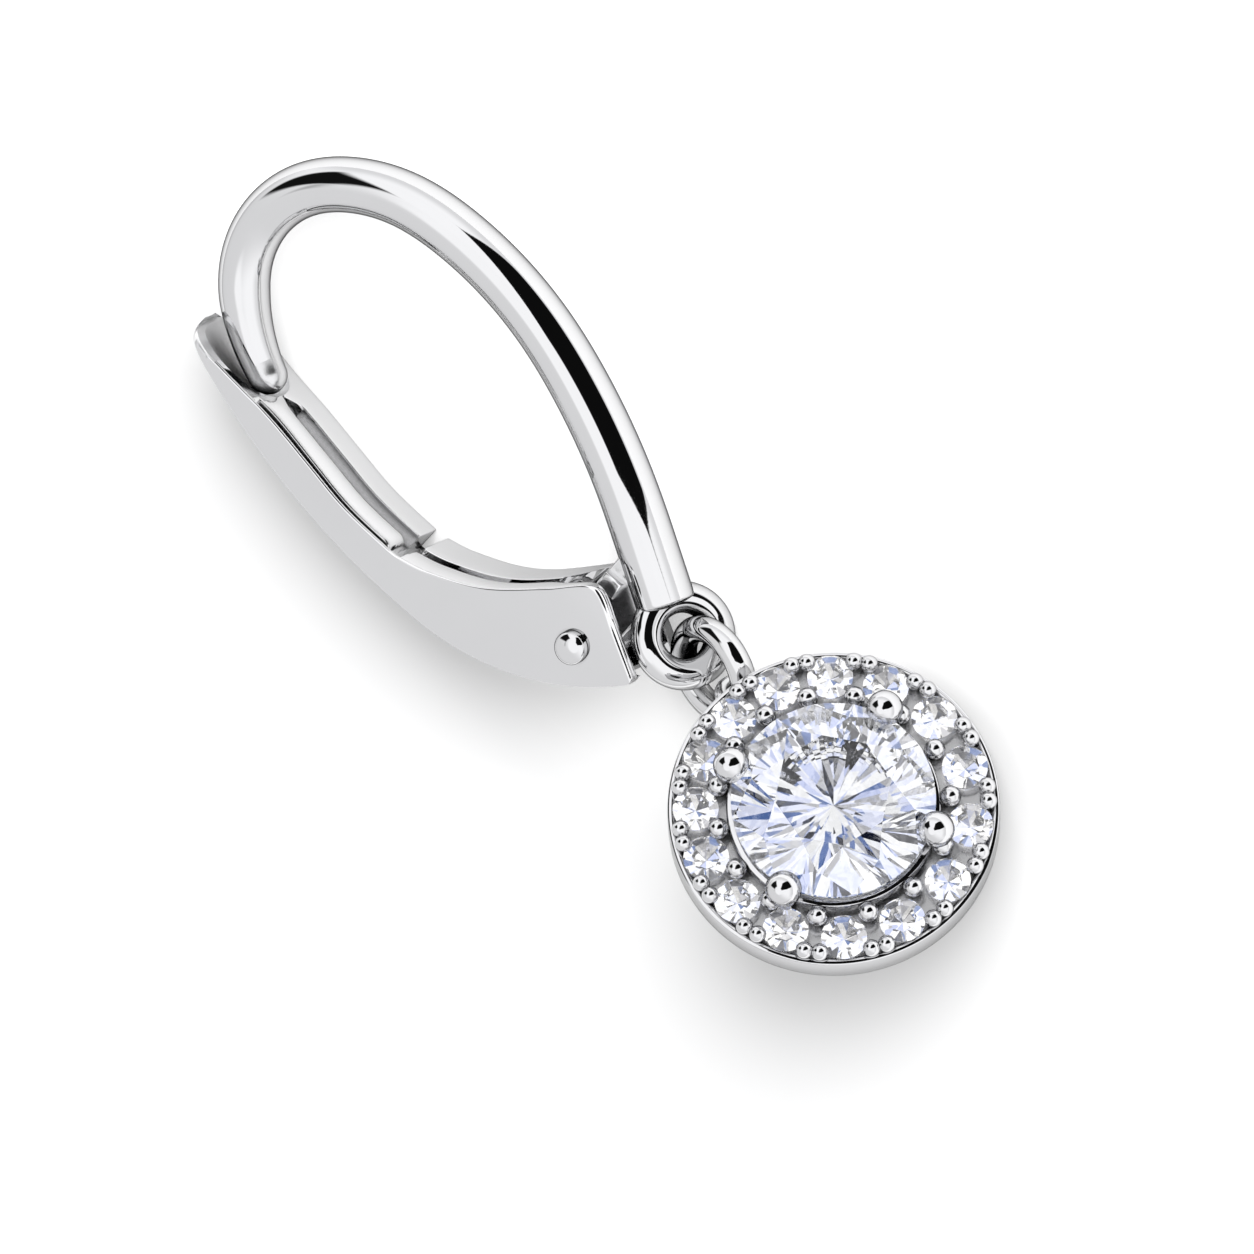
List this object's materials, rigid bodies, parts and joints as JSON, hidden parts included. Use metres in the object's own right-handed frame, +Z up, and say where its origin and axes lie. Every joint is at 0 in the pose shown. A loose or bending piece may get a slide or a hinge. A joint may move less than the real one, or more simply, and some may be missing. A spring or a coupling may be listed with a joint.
{
  "type": "leverback earring",
  "caption": "Leverback earring: a round wire hook closed by a hinged lever, with a round halo pendant of brilliant-cut stones on a jump ring.",
  "frame": {"origin": "middle of the bottom of the earring's box, on the surface that it lies on", "axes": "+X from the catch end of the hoop towards the pendant, +Y across the hoop from the lever to the ear wire, +Z up, along the rivet"},
  "size_m": [0.0254, 0.0094, 0.0061],
  "materials": {
    "white_gold": "mirror-polished rhodium-plated white gold",
    "centre_stone": "clear brilliant-cut stone with pale lavender and blue flashes",
    "halo_stones": "clear brilliant-cut stones"
  },
  "bodies": {
    "hook": {"ear_wire": "white_gold", "jump_ring": "white_gold", "halo_setting": "white_gold", "centre_stone": "centre_stone", "halo_stone_01": "halo_stones", "halo_stone_02": "halo_stones", "halo_stone_03": "halo_stones", "halo_stone_04": "halo_stones", "halo_stone_05": "halo_stones", "halo_stone_06": "halo_stones", "halo_stone_07": "halo_stones", "halo_stone_08": "halo_stones", "halo_stone_09": "halo_stones", "halo_stone_10": "halo_stones", "halo_stone_11": "halo_stones", "halo_stone_12": "halo_stones", "halo_stone_13": "halo_stones", "halo_stone_14": "halo_stones", "halo_stone_15": "halo_stones"},
    "lever": {"lever": "white_gold", "rivet_pin": "white_gold"}
  },
  "joints": [
    {"name": "lever_hinge", "type": "hinge", "parent": "hook", "child": "lever", "pos_m": [0.0011, -0.00128, 0.0014], "axis": [0, 0, 1], "range_deg": [0, 50]}
  ]
}
